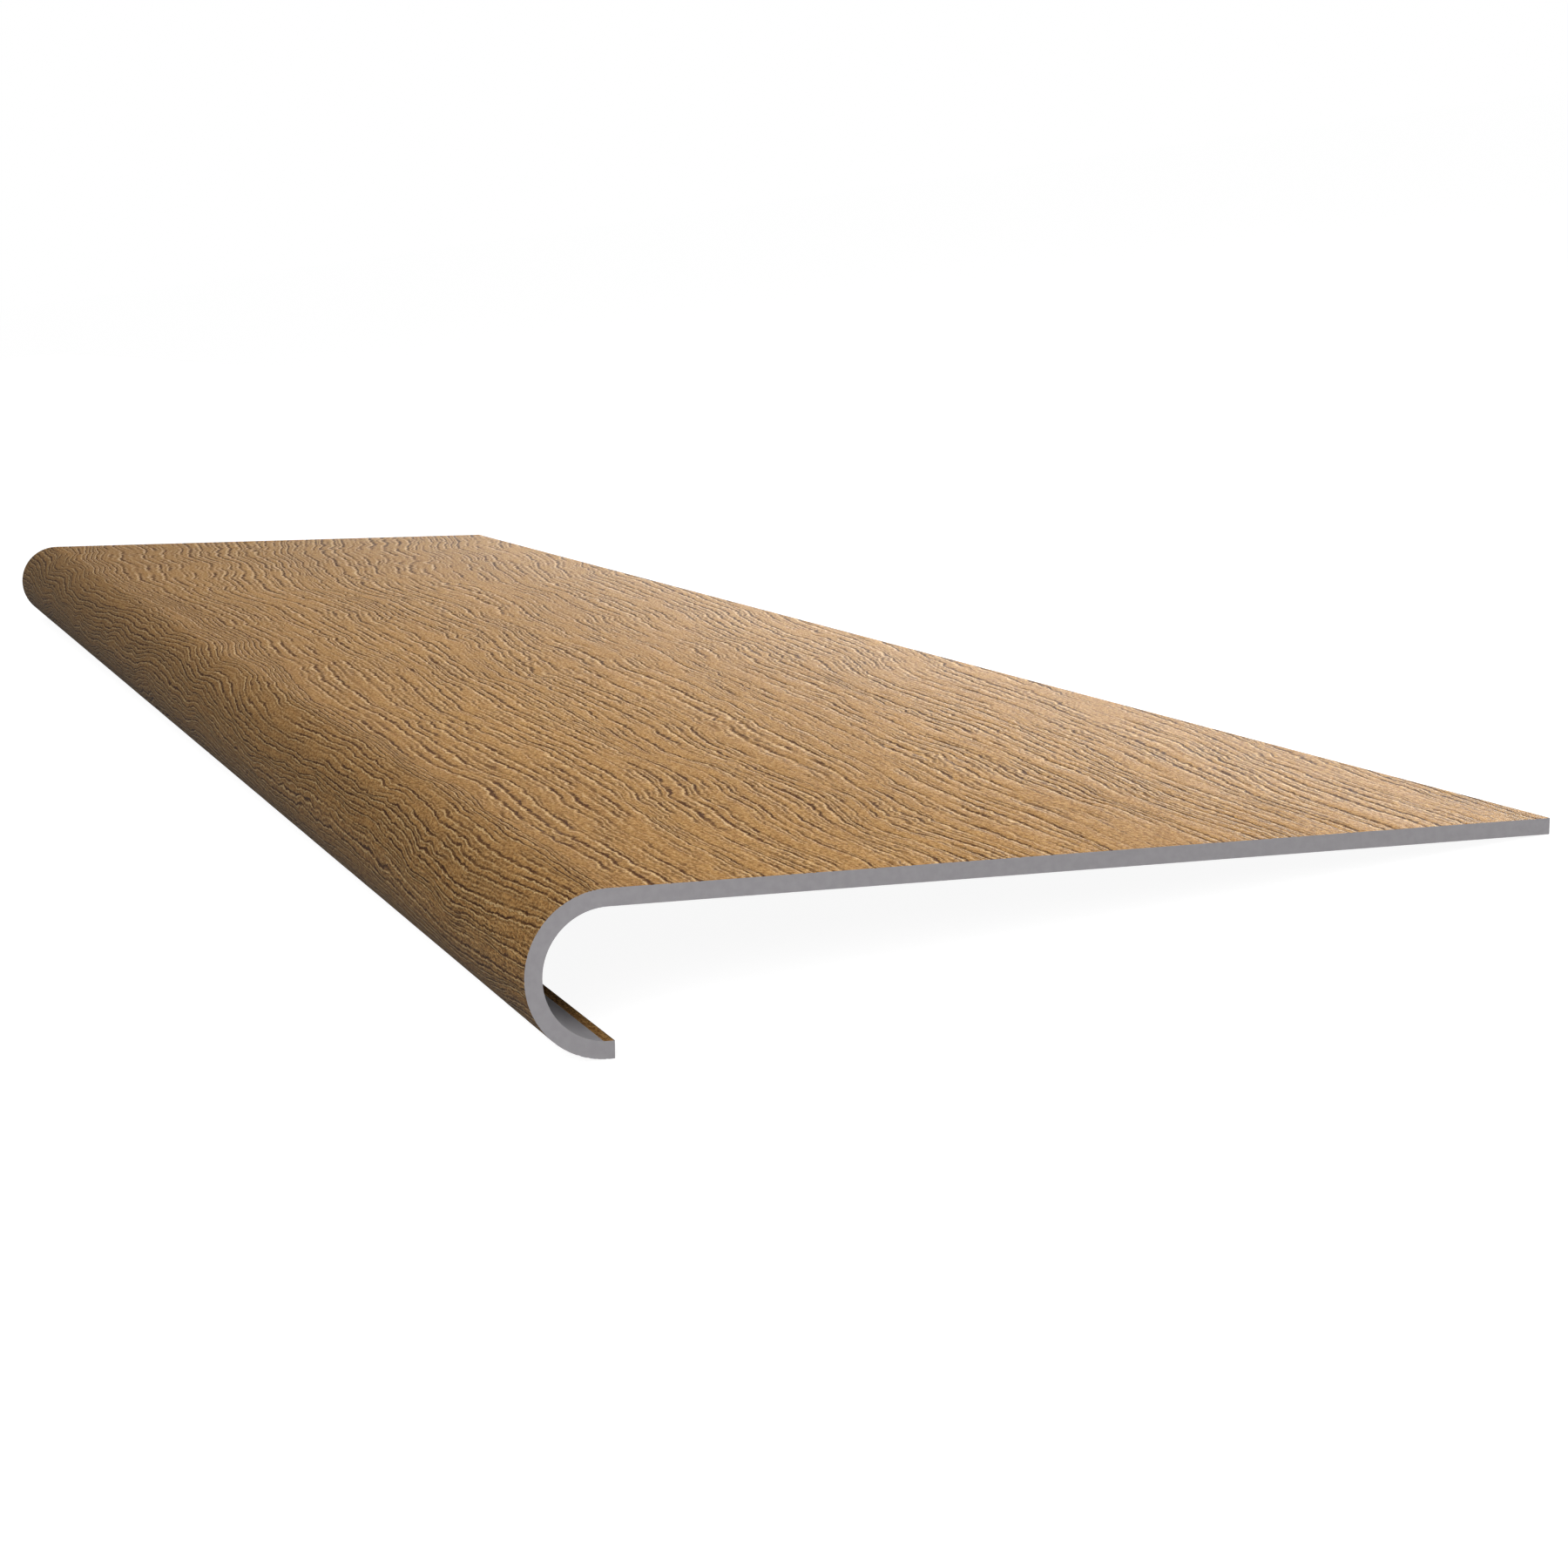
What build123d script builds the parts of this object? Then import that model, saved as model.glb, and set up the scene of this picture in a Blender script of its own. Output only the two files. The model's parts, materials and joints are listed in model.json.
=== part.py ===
from build123d import *
import os
from math import atan2, cos, sin

# Retrofit stair tread: one extruded length of rigid plastic. A flat plate covers an old step, and its
# front edge turns down and under in a half-round nose that hooks over the step's own nosing.
# +X runs along the stair's width, the nose faces -Y, and the tread lies on a level floor at Z = 0.

# Driving dimensions, in millimetres
tread_length = 1219.2   # 48 in, across the stair
tread_depth = 304.8     # 12 in, from the front of the nose to the back edge, along the plate
wall = 4.7625           # 3/16 in, alike in the plate, the nose and the lip
nose_height = 44.45     # 1 3/4 in, from the walking face to the underside of the lip
lip_length = 1.4        # flat lip that goes on from the bottom of the half-round nose

# The section is drawn from the tip of the lip: backwards along the plate, and up at right angles to it
nose_radius = nose_height / 2
inner_radius = nose_radius - wall
plate_end = tread_depth - nose_radius - lip_length

# Unheld, the tread leans back from the tip of its lip until the back edge meets the floor
rest_angle = atan2(nose_height - wall, plate_end)
nose_front = nose_radius * (sin(rest_angle) - 1) - lip_length * cos(rest_angle)
back_end = plate_end * cos(rest_angle) + nose_height * sin(rest_angle)
section_plane = Plane(
    origin=(0, -(nose_front + back_end) / 2, 0),
    x_dir=(0, cos(rest_angle), -sin(rest_angle)),
    z_dir=(1, 0, 0),
)

with BuildPart() as tread:
    with BuildSketch(section_plane):
        with BuildLine():
            walking_face = Line((plate_end, nose_height), (-lip_length, nose_height))
            nose_outside = JernArc(walking_face @ 1, walking_face % 1, nose_radius, 180)
            lip_underside = Line(nose_outside @ 1, (0, 0))
            lip_tip = Line(lip_underside @ 1, (0, wall))
            lip_top = Line(lip_tip @ 1, (-lip_length, wall))
            nose_inside = JernArc(lip_top @ 1, lip_top % 1, inner_radius, -180)
            plate_underside = Line(nose_inside @ 1, (plate_end, nose_height - wall))
            back_edge = Line(plate_underside @ 1, walking_face @ 0)
        make_face()
    extrude(amount=tread_length / 2, both=True)

tread.part.label = "tread"

os.makedirs("parts", exist_ok=True)
export_step(tread.part, "parts/tread.step")
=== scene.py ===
import json
import bpy
import numpy as np
from mathutils import Matrix, Vector


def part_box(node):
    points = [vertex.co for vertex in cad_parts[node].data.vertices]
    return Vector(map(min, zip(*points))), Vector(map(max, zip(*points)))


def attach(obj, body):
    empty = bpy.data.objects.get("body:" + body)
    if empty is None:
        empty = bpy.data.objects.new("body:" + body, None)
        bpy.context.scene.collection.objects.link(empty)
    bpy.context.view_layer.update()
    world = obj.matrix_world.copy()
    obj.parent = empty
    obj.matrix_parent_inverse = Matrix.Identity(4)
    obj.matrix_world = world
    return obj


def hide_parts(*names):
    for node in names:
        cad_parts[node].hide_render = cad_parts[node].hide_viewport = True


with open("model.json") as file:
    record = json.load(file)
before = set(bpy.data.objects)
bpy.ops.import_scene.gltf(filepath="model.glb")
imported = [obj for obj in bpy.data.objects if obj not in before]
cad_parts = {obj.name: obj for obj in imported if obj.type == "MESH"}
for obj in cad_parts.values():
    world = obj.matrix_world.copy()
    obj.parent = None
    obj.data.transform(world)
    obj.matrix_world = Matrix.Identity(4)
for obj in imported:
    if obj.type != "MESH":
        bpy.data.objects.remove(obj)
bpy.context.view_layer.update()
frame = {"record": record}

# Tread: one extruded length of rigid grey plastic. Every face that shows on the stair carries a tan cap,
# run on in the same die, which a heated roller embosses with oak grain while it is soft. A saw cuts the
# length square, so the grey shows on both ends, under the plate and inside the nose.

# The section's sizes and its lean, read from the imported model. Places in the section are measured
# backwards along the plate and up at right angles to it, from the centre of the half-round nose.
mm = 0.001
mounts = {m["name"]: m for m in frame["record"]["mounts"]}
nose_centre = np.array(mounts["nose_hook"]["pos_m"])
underside = np.array(mounts["underside"]["pos_m"]) - nose_centre
back_edge = np.array(mounts["back_edge"]["pos_m"]) - nose_centre
up = -np.array(mounts["underside"]["axis"])
backwards = np.array(mounts["back_edge"]["axis"])
low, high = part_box("tread")
length = high.x - low.x
inner_radius = underside @ up
wall = 2 * (back_edge @ up - inner_radius)
radius = inner_radius + wall
plate = back_edge @ backwards
lip = (nose_centre[2] - radius * up[2]) / -backwards[2]
face_width = plate + np.pi * radius + lip

# Grain of the embossed face: growth lines that run along the tread
columns = 290
line_pitch = 2.1 * mm
plate_pitch = 3.6 * mm
growth_lines = round((face_width - plate) / line_pitch + plate / plate_pitch)
line_drift = 0.155
groove_depth = 0.12 * mm
groove_wall = (0.35 * mm, 0.65 * mm)
ripple_depth = 0.03 * mm
nose_fullness = 0.12
far_fullness = 0.18
islands = 30
spare_lines = 4
random = np.random.default_rng(20)


def smooth_noise(across, along):
    """Random heights from -1 to 1 on a whole-number grid, eased between grid points by t*t*(3 - 2*t)."""
    across, along = np.broadcast_arrays(across, along)
    i = np.floor(across).astype(int)
    j = np.floor(along).astype(int)
    s = across - i
    t = along - j
    s = s * s * (3 - 2 * s)
    t = t * t * (3 - 2 * t)
    i -= i.min()
    j -= j.min()
    grid = random.uniform(-1, 1, (i.max() + 2, j.max() + 2))
    near = grid[i, j] * (1 - t) + grid[i, j + 1] * t
    far = grid[i + 1, j] * (1 - t) + grid[i + 1, j + 1] * t
    return near * (1 - s) + far * s


def ease(value, start, end):
    """0 before start, 1 after end, and the smooth step t*t*(3 - 2*t) between."""
    t = np.clip((value - start) / (end - start), 0, 1)
    return t * t * (3 - 2 * t)


# At the near end the lines are counted up from the lip, line_pitch apart on the nose and plate_pitch on the
# plate, give or take a third. Going away they drift backwards, by a slope of line_drift times (way from the
# lip / face width) ** 1.2. The way along such a slope is one where way ** -0.2 falls evenly, by a fifth of
# that slope over the way ** 1.2. They also wander, by noise of five sizes. A few spare lines start past the
# back edge, so that none of it is left bare.
x = np.linspace(low.x, high.x, columns)
lines = np.arange(growth_lines + spare_lines + 1)[:, None]
nose_lines = (face_width - plate) / line_pitch
first_gaps = np.where(lines[:-1] < nose_lines, line_pitch, plate_pitch)
first_gaps = first_gaps * random.uniform(0.65, 1.35, first_gaps.shape)
first_gaps *= (face_width + spare_lines * plate_pitch) / first_gaps.sum()
first_way = np.vstack([[[1e-6]], np.cumsum(first_gaps, axis=0)])
way = (first_way**-0.2 - 0.2 * line_drift * (high.x - x) / face_width**1.2) ** -5
wanders = (  # length along the tread in metres, lines across, reach
    (0.34, 26, 4.5 * mm),
    (0.13, 11, 4.2 * mm),
    (0.055, 6, 2.4 * mm),
    (0.022, 2.2, 0.75 * mm),
    (0.010, 1, 0.2 * mm),
)
for length_along, lines_across, reach in wanders:
    way += reach * smooth_noise(lines / lines_across, x / length_along)

# Here and there they part round a plain island, pushed away from its middle on both sides
for _ in range(islands):
    island_x = random.uniform(low.x, high.x)
    island_line = random.uniform(4, growth_lines - 4)
    island_length = random.uniform(0.018, 0.045)
    away = lines - island_line
    push = random.uniform(0.7, 1.7) * mm * np.tanh(away / 0.6) * np.exp(-((away / 5) ** 2))
    way += push * np.exp(-(((x - island_x) / island_length) ** 2))

# No gap closes below a quarter of the pitch, and the first line stays on the lip's corner. lines_at counts
# from the back edge instead, where the lines that have run off it come out below nought.
open_gaps = np.maximum(np.diff(way, axis=0), 0.25 * line_pitch)
way = np.vstack([np.zeros(columns), np.cumsum(open_gaps, axis=0)])
lines_at = face_width - way[::-1]
gaps = np.diff(lines_at, axis=0)

# A groove follows each line, deep in places and lost in others, and some lines have more of it than others.
# It is fuller on the nose and away from the near end, and none runs along the lip's corner.
bias = random.uniform(0.05, 0.65, lines.shape) + nose_fullness * ease(lines_at, 0.85 * plate, plate)
bias = bias + far_fullness * ease(high.x - x, 0.2, 0.7)
presence = 0.55 * smooth_noise(lines, x / 0.060) + 0.42 * smooth_noise(lines, x / 0.020) + bias
presence = ease(presence, -0.20, 0.60)
presence[-1] = 0
depth = groove_depth * presence * (0.75 + 0.35 * smooth_noise(lines, x / 0.006))
ripple = ripple_depth * (0.5 + 0.5 * smooth_noise(lines / 1.5, x / 0.022))

# Rows of points across the face, three to each line: the groove's floor, the top of its front wall and the
# top of the next groove's back wall. place runs over the face, sunk is the depth, and grain is the count of
# lines.
wall_width = groove_wall[0] + (groove_wall[1] - groove_wall[0]) * presence
front_wall = np.minimum(wall_width[:-1], 0.3 * gaps)
back_wall = np.minimum(wall_width[1:], 0.3 * gaps)
place = np.stack([lines_at[:-1], lines_at[:-1] + front_wall, lines_at[1:] - back_wall], axis=1)
sunk = np.stack([depth[:-1], 0 * front_wall, 0 * back_wall], axis=1) + ripple[:-1, None]
grain = lines[:-1, None] + (place - lines_at[:-1, None]) / gaps[:, None]
groove = np.stack([presence[:-1], presence[:-1], presence[1:]], axis=1)
place = np.vstack([place.reshape(-1, columns), lines_at[-1:]])
sunk = np.vstack([sunk.reshape(-1, columns), np.zeros((1, columns))])
grain = np.vstack([grain.reshape(-1, columns), np.full((1, columns), growth_lines + spare_lines)])
groove = np.vstack([groove.reshape(-1, columns), np.zeros((1, columns))])
face_rows = len(place)

# What has run off is drawn in to the back edge, with the count of lines that the edge cuts through there
run_off = place <= 0.05 * mm
run_off[0] = True
last_off = np.argmin(lines_at < 0, axis=0)[None] - 1
edge_count = last_off - np.take_along_axis(lines_at, last_off, 0) / np.take_along_axis(gaps, last_off, 0)
grain = np.where(run_off, edge_count, grain) * line_pitch
groove = np.where(run_off, np.take_along_axis(presence, last_off + 1, 0), groove)
place = np.where(run_off, 0, place)
sunk = np.where(run_off, 0, sunk)


def outer_face(place, sunk):
    """Places over the outer face as (backwards, up). They run from the back edge along the plate, round the
    nose and along the lip: the turn is the way past the plate over the radius, held from none to half a
    turn, and the sunk depth shortens the radius."""
    turn = np.clip((place - plate) / radius, 0, np.pi)
    straight = np.maximum(plate - place, 0) + np.maximum(place - plate - np.pi * radius, 0)
    return straight - (radius - sunk) * np.sin(turn), (radius - sunk) * np.cos(turn)


# The rest of the section, as rows that are straight along the tread: up the lip's tip, back along the lip,
# round the inside of the nose, along the underside and up the back edge to where the face began
cap_return = 3.0 * mm
return_turn = (cap_return - lip) / inner_radius
inside_turns = np.pi - np.concatenate([[0, return_turn / 2], np.linspace(return_turn, np.pi, 44)])
tip_rows = np.array([0.35, 0.75, 1.0])
inside = np.concatenate([
    np.stack([np.full(3, lip), -radius + wall * tip_rows], axis=1),
    np.stack([-inner_radius * np.sin(inside_turns), inner_radius * np.cos(inside_turns)], axis=1),
    [[plate / 2, inner_radius], [plate, inner_radius], [plate, radius - 0.5 * mm]],
])
cap_rows = face_rows + len(tip_rows) + 2

back, rise = outer_face(place, sunk)
back = np.vstack([back, np.repeat(inside[:, :1], columns, axis=1)])
rise = np.vstack([rise, np.repeat(inside[:, 1:], columns, axis=1)])
rows = len(back)
points = nose_centre + back[..., None] * backwards + rise[..., None] * up
points[..., 0] = x

# Faces: a grid that closes round the section, and one flat face on each sawn end. Points on the back edge
# that share a column are one point, so squares there become triangles or drop out.
corner = np.arange(rows * columns).reshape(rows, columns)
corner[:face_rows] = np.where(run_off, corner[0], corner[:face_rows])
ahead = np.roll(corner, -1, axis=0)
squares = np.stack([corner[:, :-1], ahead[:, :-1], ahead[:, 1:], corner[:, 1:]], axis=-1)
left_open = squares[..., 0] != squares[..., 1]
right_open = squares[..., 2] != squares[..., 3]
of_row = np.repeat(np.arange(rows)[:, None], columns - 1, axis=1)
whole = left_open & right_open
left_only = left_open & ~right_open
right_only = ~left_open & right_open
sides = [squares[whole], squares[left_only][:, :3], squares[right_only][:, 1:]]
side_rows = np.concatenate([of_row[whole], of_row[left_only], of_row[right_only]])
ends = [np.append(corner[0, c], corner[:, c][corner[:, c] != corner[0, c]]) for c in (0, columns - 1)]
used, renumbered = np.unique(np.concatenate([part.ravel() for part in sides + ends]), return_inverse=True)
splits = np.cumsum([part.size for part in sides + ends])[:-1]
*side_parts, far_end, near_end = np.split(renumbered, splits)
faces = sum([part.reshape(-1, sides_to).tolist() for part, sides_to in zip(side_parts, (4, 3, 3))], [])
faces += [far_end[::-1].tolist(), near_end.tolist()]
tread_mesh = bpy.data.meshes.new("grained_tread")
tread_mesh.from_pydata(points.reshape(-1, 3)[used].tolist(), [], faces)

# The cap covers the face, the lip's tip and a narrow return inside it; the rest is bare grey body
on_body = np.append(side_rows >= cap_rows, [True, True])
tread_mesh.polygons.foreach_set("material_index", on_body.astype(int))
smooth = np.ones(len(tread_mesh.polygons), bool)
smooth[-2:] = False
tread_mesh.polygons.foreach_set("use_smooth", smooth)

# Edges that stay sharp: round both sawn ends, and along the corners of the lip and the back edge
edge_ends = np.empty(len(tread_mesh.edges) * 2, int)
tread_mesh.edges.foreach_get("vertices", edge_ends)
edge_row, edge_column = np.divmod(used[edge_ends].reshape(-1, 2), columns)
corner_rows = [0, face_rows - 1, face_rows + len(tip_rows) - 1, rows - 2]
at_end = (edge_column == 0).all(axis=1) | (edge_column == columns - 1).all(axis=1)
at_corner = (edge_row[:, 0] == edge_row[:, 1]) & np.isin(edge_row[:, 0], corner_rows)
sharp = tread_mesh.attributes.new("sharp_edge", "BOOLEAN", "EDGE")
sharp.data.foreach_set("value", at_end | at_corner)

# What the cap's pattern follows: the place along the tread and the count of growth lines, and the grooves
inner_grain = grain[-1:] + np.arange(1, rows - face_rows + 1)[:, None] * mm
grain_rows = np.vstack([grain, inner_grain])
grain_vectors = np.stack([np.broadcast_to(x, (rows, columns)), grain_rows, 0 * grain_rows], axis=-1)
grain_attribute = tread_mesh.attributes.new("grain", "FLOAT_VECTOR", "POINT")
grain_attribute.data.foreach_set("vector", grain_vectors.reshape(-1, 3)[used].ravel())
groove_rows = np.vstack([groove, np.zeros((rows - face_rows, columns))])
groove_attribute = tread_mesh.attributes.new("groove", "FLOAT", "POINT")
groove_attribute.data.foreach_set("value", groove_rows.ravel()[used])

# A map of the surface for the export. Along the tread every strip takes the map's full width; across it
# the face has the upper seven tenths, by the way over it, and the strip from the lip's corner round the
# inside to the back edge lies below that. The two ends lie flat side by side at the bottom.
loops = len(tread_mesh.loops)
loop_points = np.empty(loops, int)
tread_mesh.loops.foreach_get("vertex_index", loop_points)
loop_counts = np.empty(len(tread_mesh.polygons), int)
tread_mesh.polygons.foreach_get("loop_total", loop_counts)
loop_row, loop_column = np.divmod(used[loop_points], columns)
loop_side = np.repeat(np.append(side_rows, [rows, rows + 1]), loop_counts)
strip = np.vstack([[lip, -radius], inside, [plate, radius]])
strip_way = np.append(0, np.cumsum(np.hypot(*np.diff(strip, axis=0).T)))
strip_step = np.where(loop_row == 0, len(strip) - 1, np.clip(loop_row - face_rows + 1, 0, len(strip) - 1))
face_from, face_share = 0.28, 0.71
strip_from, strip_share = 0.10, 0.17
end_share, margin = 0.48, 0.005
face_v = face_from + face_share * place[np.minimum(loop_row, face_rows - 1), loop_column] / face_width
strip_v = strip_from + strip_share * strip_way[strip_step] / strip_way[-1]
end_scale = end_share / (back.max() - back.min())
end_u = margin + end_scale * (back - back.min())[loop_row, loop_column] + 0.5 * (loop_side == rows)
end_v = margin + end_scale * (rise - rise.min())[loop_row, loop_column]
along_u = 0.004 + 0.992 * (x[loop_column] - low.x) / length
map_u = np.where(loop_side >= rows, end_u, along_u)
map_v = np.select([loop_side >= rows, loop_side >= face_rows - 1], [end_v, strip_v], face_v)
export_map = tread_mesh.uv_layers.new(name="OFBake")
export_map.uv.foreach_set("vector", np.stack([map_u, map_v], axis=1).ravel())

tread = bpy.data.objects.new("grained_tread", tread_mesh)
bpy.context.scene.collection.objects.link(tread)


def colour(red, green, blue):
    """A colour written as it looks on a screen, from 0 to 255, as the linear values that shaders take."""
    c = np.array([red, green, blue]) / 255
    linear = np.where(c <= 0.04045, c / 12.92, ((c + 0.055) / 1.055) ** 2.4)
    return (*linear, 1.0)


def add(material, kind, settings=None, **sockets):
    """Put a node in a material, with its settings. A socket is given a value, or another node's output."""
    tree = material.node_tree
    made = tree.nodes.new(kind)
    for name, value in (settings or {}).items():
        setattr(made, name, value)
    for name, value in sockets.items():
        key = int(name[1:]) if name[0] == "_" else name.replace("_", " ")
        if isinstance(value, bpy.types.NodeSocket):
            tree.links.new(value, made.inputs[key])
        else:
            made.inputs[key].default_value = value
    return made


def math(material, operation, *values, clamp=False):
    """One sum on the material's values."""
    sockets = {f"_{i}": value for i, value in enumerate(values)}
    return add(material, "ShaderNodeMath", {"operation": operation, "use_clamp": clamp}, **sockets).outputs[0]


def spread(material, value, start, end):
    """The value stretched so that start becomes 0 and end becomes 1, held there and eased."""
    settings = {"interpolation_type": "SMOOTHSTEP"}
    made = add(material, "ShaderNodeMapRange", settings, Value=value, From_Min=start, From_Max=end)
    return made.outputs["Result"]


def noise(material, vector, scale, detail, roughness=0.5):
    """Noise on a vector that is first stretched by its own scale on each axis, in features to the metre."""
    stretched = add(material, "ShaderNodeVectorMath", {"operation": "MULTIPLY"}, _0=vector, _1=scale)
    made = add(material, "ShaderNodeTexNoise", Vector=stretched.outputs[0], Scale=1.0, Detail=detail,
               Roughness=roughness)
    return made.outputs["Fac"]


def blend(material, amount, first, second, way="MIX"):
    """Two colours mixed by an amount from 0 to 1."""
    settings = {"data_type": "RGBA", "blend_type": way}
    return add(material, "ShaderNodeMix", settings, _0=amount, _6=first, _7=second).outputs[2]


# Cap: tan plastic with oak grain. Ragged grooves lie on the growth lines, hairline cuts and fibres between
# them, and a fine tooth covers it all. Along the cuts, painted shade and painted highlights are mixed into
# the colour.
cap = bpy.data.materials.new("oak_grain_cap")
cap.use_nodes = True
cap.node_tree.nodes.clear()
grain_at = add(cap, "ShaderNodeAttribute", {"attribute_name": "grain"}).outputs["Vector"]
groove_at = add(cap, "ShaderNodeAttribute", {"attribute_name": "groove"}).outputs["Fac"]
object_at = add(cap, "ShaderNodeTexCoord").outputs["Object"]


def cut_curve(material, offset, reach, heights):
    """A value drawn over a cut, from nought to one, by the offset from the cut's line: held at the
    first and last of its heights from the reach outwards."""
    held = math(material, "MULTIPLY_ADD", offset, 0.5 / reach, 0.5, clamp=True)
    made = add(material, "ShaderNodeFloatCurve", Value=held)
    curve = made.mapping.curves[0]
    curve.points[0].location = heights[0]
    curve.points[1].location = heights[-1]
    for place, height in heights[1:-1]:
        curve.points.new(place, height)
    made.mapping.update()
    return made.outputs[0]


# Grooves: the cuts' edges are ragged, and in places they swirl off their lines. Along a line they come in
# strong and weak dashes. nose_growth is 1 on the growth that begins on the nose at the near end.
rag_reach = 2.5 * mm
swirl_reach = 3.5 * mm
rag = math(cap, "SUBTRACT", noise(cap, grain_at, (130, 400, 1), 4, 0.8), 0.5)
swirl = math(cap, "SUBTRACT", noise(cap, grain_at, (60, 110, 1), 1), 0.5)
swirl_places = spread(cap, noise(cap, grain_at, (22, 60, 1), 1), 0.52, 0.68)
swirl = math(cap, "MULTIPLY", swirl, math(cap, "MULTIPLY", swirl_places, swirl_reach))
parts = add(cap, "ShaderNodeSeparateXYZ", _0=grain_at)
nose_count = (growth_lines + spare_lines - nose_lines) * line_pitch
nose_growth = spread(cap, parts.outputs["Y"], nose_count - 12 * line_pitch, nose_count + 4 * line_pitch)
across = math(cap, "MULTIPLY_ADD", rag, rag_reach, math(cap, "ADD", parts.outputs["Y"], swirl))
line_count = math(cap, "MULTIPLY", across, 1 / line_pitch)
line_offset = math(cap, "SUBTRACT", line_count, math(cap, "ROUND", line_count))
line_offset = math(cap, "MULTIPLY", line_offset, line_pitch)
dashes = spread(cap, noise(cap, grain_at, (100, 280, 1), 3, 0.7), 0.36, 0.54)
dashes = math(cap, "MULTIPLY_ADD", dashes, 0.55, 0.45)
strength = math(cap, "MULTIPLY", groove_at, dashes)

# Over a cut, from its back side to its front: the height falls into it and rises to a lip in front of it.
# Painted shade darkens the floor and back wall, which face away from the lamp behind, and a painted highlight
# lightens the lip in front, which faces that lamp
cut_reach = 1.10 * mm
cut_height = ((0.0, 0.5), (0.18, 0.5), (0.30, 0.44), (0.42, 0.05),
              (0.56, 0.5), (0.66, 0.76), (0.82, 0.52), (1.0, 0.5))
cut_painted_shade = ((0.0, 0.0), (0.20, 0.0), (0.31, 0.75), (0.42, 1.0), (0.50, 0.7), (0.57, 0.0), (1.0, 0.0))
cut_painted_highlight = ((0.0, 0.0), (0.54, 0.0), (0.62, 1.0), (0.69, 0.8), (0.80, 0.0), (1.0, 0.0))
height = math(cap, "SUBTRACT", cut_curve(cap, line_offset, cut_reach, cut_height), 0.5)
height = math(cap, "MULTIPLY", height, strength)
painted_shade = math(cap, "MULTIPLY", cut_curve(cap, line_offset, cut_reach, cut_painted_shade), strength)
painted_highlight = math(cap, "MULTIPLY", cut_curve(cap, line_offset, cut_reach, cut_painted_highlight), strength)

# Hairline cuts half-way between the lines, weaker than the grooves and fewer on the nose, with the same
# painted shade and painted highlight
fine_share = 0.7
fine_count = math(cap, "ADD", line_count, 0.5)
fine_number = math(cap, "ROUND", fine_count)
fine_offset = math(cap, "MULTIPLY", math(cap, "SUBTRACT", fine_count, fine_number), line_pitch)
fine_at = add(cap, "ShaderNodeCombineXYZ", X=parts.outputs["X"], Y=fine_number).outputs[0]
fine_strength = spread(cap, noise(cap, fine_at, (20, 7.3, 1), 2.5, 0.65), 0.42, 0.58)
fine_strength = math(cap, "MULTIPLY", fine_strength, math(cap, "MULTIPLY_ADD", nose_growth, -0.45, 1.0))
fine_strength = math(cap, "MULTIPLY", fine_strength, dashes)
fine_reach = 0.75 * mm
fine_height = math(cap, "SUBTRACT", cut_curve(cap, fine_offset, fine_reach, cut_height), 0.5)
height = math(cap, "MULTIPLY_ADD", fine_height, math(cap, "MULTIPLY", fine_strength, 0.6), height)
fine_painted_shade = math(cap, "MULTIPLY", cut_curve(cap, fine_offset, fine_reach, cut_painted_shade), fine_strength)
painted_shade = math(cap, "MULTIPLY_ADD", fine_painted_shade, fine_share, painted_shade, clamp=True)
fine_painted_highlight = math(cap, "MULTIPLY", cut_curve(cap, fine_offset, fine_reach, cut_painted_highlight), fine_strength)
painted_highlight = math(cap, "MULTIPLY_ADD", fine_painted_highlight, fine_share, painted_highlight, clamp=True)

# Ground: tan in broad patches, darker on the nose's growth, streaked by fibres and sandy from the tooth
fibres = noise(cap, grain_at, (60, 1300, 1), 3, 0.6)
tooth = noise(cap, object_at, (560, 1100, 1100), 2, 0.7)
patches = noise(cap, grain_at, (5, 22, 1), 3)

plain = colour(255, 255, 255)
tan = blend(cap, spread(cap, patches, 0.3, 0.7), colour(192, 149, 90), colour(200, 156, 95))
tan = blend(cap, nose_growth, tan, colour(180, 139, 85))
sandy = blend(cap, spread(cap, tooth, 0.32, 0.68), colour(186, 172, 157), plain)
streaked = blend(cap, spread(cap, fibres, 0.25, 0.75), colour(236, 232, 226), plain)
tan = blend(cap, 1.0, blend(cap, 1.0, tan, sandy, "MULTIPLY"), streaked, "MULTIPLY")
# The cuts' painted highlight on their lips and painted shade in their floors, mixed into the tan
tan = blend(cap, math(cap, "MULTIPLY", painted_highlight, 0.62), tan, colour(228, 194, 140))
tan = blend(cap, painted_shade, tan, colour(78, 46, 22))

relief = math(cap, "MULTIPLY_ADD", fibres, 0.2, height)
relief = math(cap, "MULTIPLY_ADD", tooth, 1.3, relief)
cap_bump = add(cap, "ShaderNodeBump", Strength=1.0, Distance=1.4 * mm, Height=relief)
cap_gloss = math(cap, "MULTIPLY_ADD", fibres, 0.14, 0.55)
cap_shader = add(cap, "ShaderNodeBsdfPrincipled", Base_Color=tan, Roughness=cap_gloss,
                 Normal=cap_bump.outputs[0], Specular_IOR_Level=0.0, Coat_Weight=0.055, Coat_Roughness=0.2)
add(cap, "ShaderNodeOutputMaterial", Surface=cap_shader.outputs[0])

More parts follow.
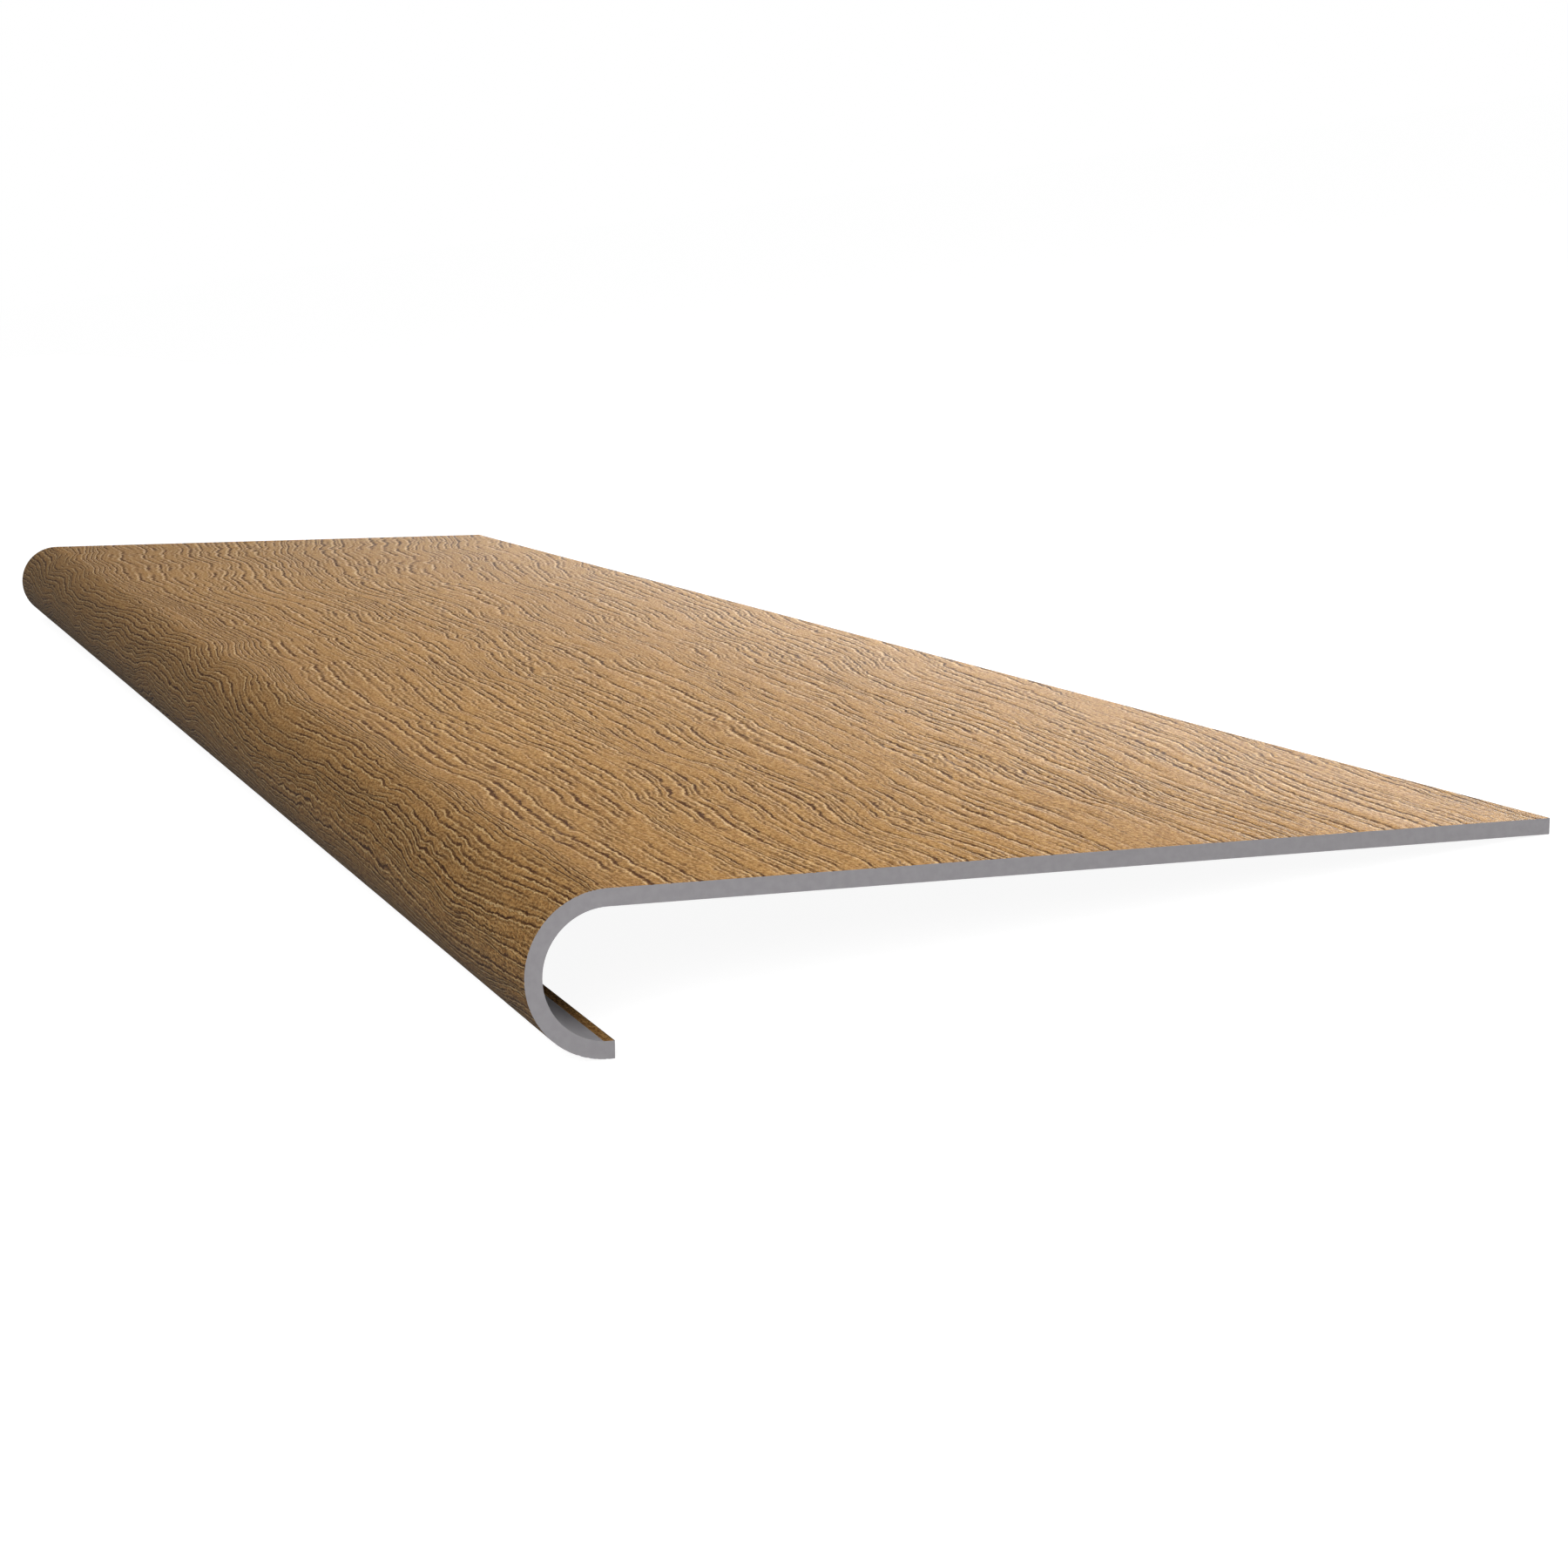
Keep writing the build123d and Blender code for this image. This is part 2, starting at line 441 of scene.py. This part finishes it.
# Body: mid-grey plastic with a fine mottle, left matt by the saw and the die
body = bpy.data.materials.new("grey_body")
body.use_nodes = True
body.node_tree.nodes.clear()
body_at = add(body, "ShaderNodeTexCoord").outputs["Object"]
mottle = noise(body, body_at, (420, 420, 420), 4)
saw_lines = noise(body, body_at, (60, 900, 60), 2)
grey = blend(body, spread(body, mottle, 0.3, 0.7), colour(148, 145, 148), colour(154, 151, 154))
body_relief = math(body, "ADD", math(body, "MULTIPLY", saw_lines, 0.5), mottle)
body_bump = add(body, "ShaderNodeBump", Strength=0.6, Distance=0.05 * mm, Height=body_relief)
body_shader = add(body, "ShaderNodeBsdfPrincipled", Base_Color=grey, Roughness=0.62,
                  Normal=body_bump.outputs[0])
add(body, "ShaderNodeOutputMaterial", Surface=body_shader.outputs[0])

tread_mesh.materials.append(cap)
tread_mesh.materials.append(body)
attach(tread, "root")
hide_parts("tread")

# Floor: a pale studio floor, white to the eye, that keeps the tread's soft shadow
floor_reach = 30.0
floor_corners = [(sx * floor_reach, sy * floor_reach, 0.0) for sx, sy in ((-1, -1), (1, -1), (1, 1), (-1, 1))]
floor_mesh = bpy.data.meshes.new("studio_floor")
floor_mesh.from_pydata(floor_corners, [], [(0, 1, 2, 3)])
studio_floor = bpy.data.objects.new("studio_floor", floor_mesh)
bpy.context.scene.collection.objects.link(studio_floor)
pale = bpy.data.materials.new("pale_floor")
pale.use_nodes = True
pale.node_tree.nodes.clear()
floor_path = add(pale, "ShaderNodeLightPath").outputs
seen = math(pale, "MAXIMUM", floor_path["Is Camera Ray"], floor_path["Is Glossy Ray"])
seen = math(pale, "MAXIMUM", seen, floor_path["Is Transmission Ray"])
floor_lit = add(pale, "ShaderNodeBsdfDiffuse", Color=(0.07, 0.07, 0.07, 1.0))
floor_shown = add(pale, "ShaderNodeBsdfDiffuse", Color=(0.30, 0.30, 0.30, 1.0))
floor_glow = add(pale, "ShaderNodeEmission", Color=(1.0, 1.0, 1.0, 1.0), Strength=0.925)
floor_white = add(pale, "ShaderNodeAddShader", _0=floor_shown.outputs[0], _1=floor_glow.outputs[0])
floor_mix = add(pale, "ShaderNodeMixShader", _0=seen, _1=floor_lit.outputs[0], _2=floor_white.outputs[0])
add(pale, "ShaderNodeOutputMaterial", Surface=floor_mix.outputs[0])
floor_mesh.materials.append(pale)

# Studio light: an even white surround, a soft lamp high behind the tread that rakes over the grain, a long
# low strip behind the back edge that puts the sheen on the plate, a fill for the near end and the nose, and a
# weak lamp overhead
surround = bpy.data.worlds.new("white_surround")
surround.use_nodes = True
surround.node_tree.nodes.clear()
surround_light = 0.24
surround_path = add(surround, "ShaderNodeLightPath").outputs
shown = math(surround, "MAXIMUM", surround_path["Is Camera Ray"], surround_path["Is Glossy Ray"])
shown = math(surround, "MAXIMUM", shown, surround_path["Is Transmission Ray"])
surround_level = math(surround, "MULTIPLY_ADD", shown, 1.0 - surround_light, surround_light)
sky = add(surround, "ShaderNodeBackground", Color=(1.0, 1.0, 1.0, 1.0), Strength=surround_level)
add(surround, "ShaderNodeOutputWorld", Surface=sky.outputs[0])
bpy.context.scene.world = surround


def soft_lamp(name, place, target, width, height, power):
    """A rectangular lamp at a place, turned to face its target, with its width level."""
    lamp = bpy.data.lights.new(name, "AREA")
    lamp.shape = "RECTANGLE"
    lamp.size = width
    lamp.size_y = height
    lamp.energy = power
    holder = bpy.data.objects.new(name, lamp)
    holder.location = place
    holder.rotation_euler = (Vector(target) - Vector(place)).to_track_quat("-Z", "Y").to_euler()
    bpy.context.scene.collection.objects.link(holder)


soft_lamp("back_lamp", (0.3, 1.2, 1.05), (0.0, 0.0, 0.0), 0.9, 0.35, 15.5)
soft_lamp("sheen_strip", (-3.2, 0.66, 0.063), (-3.2, 0.0, 0.05), 8.4, 0.12, 43.0)
soft_lamp("end_fill", (1.35, -0.55, 0.65), (0.5, 0.0, 0.03), 0.6, 0.6, 10.0)
soft_lamp("top_lamp", (0.1, -0.45, 1.6), (0.1, 0.0, 0.0), 1.2, 1.2, 8.8)

# Camera: low at the near end and a little in front of the nose, set out from the nose's end in the
# tread's own directions, so that it looks along the plate as it leans
camera = bpy.data.cameras.new("camera")
camera.sensor_width = 36.0
camera.lens = 65.07
camera_past_end = 673.5 * mm
camera_before_nose = 205.1 * mm
camera_above_nose = 162.0 * mm
view_turn = np.radians(20.57)
view_dip = np.radians(9.16)
view_roll = np.radians(-0.16)
along = np.array([1.0, 0.0, 0.0])
eye = nose_centre + along * (high.x + camera_past_end)
eye = eye - backwards * camera_before_nose + up * camera_above_nose
level = backwards * np.sin(view_turn) - along * np.cos(view_turn)
forward = level * np.cos(view_dip) - up * np.sin(view_dip)
right = np.cross(forward, up)
right /= np.linalg.norm(right)
top = np.cross(right, forward)
rolled_right = right * np.cos(view_roll) + top * np.sin(view_roll)
rolled_top = top * np.cos(view_roll) - right * np.sin(view_roll)
turned = Matrix(np.column_stack([rolled_right, rolled_top, -forward]).tolist())
camera_holder = bpy.data.objects.new("camera", camera)
camera_holder.matrix_world = Matrix.Translation(eye.tolist()) @ turned.to_4x4()
bpy.context.scene.collection.objects.link(camera_holder)
bpy.context.scene.camera = camera_holder
bpy.context.scene.view_settings.view_transform = "Standard"
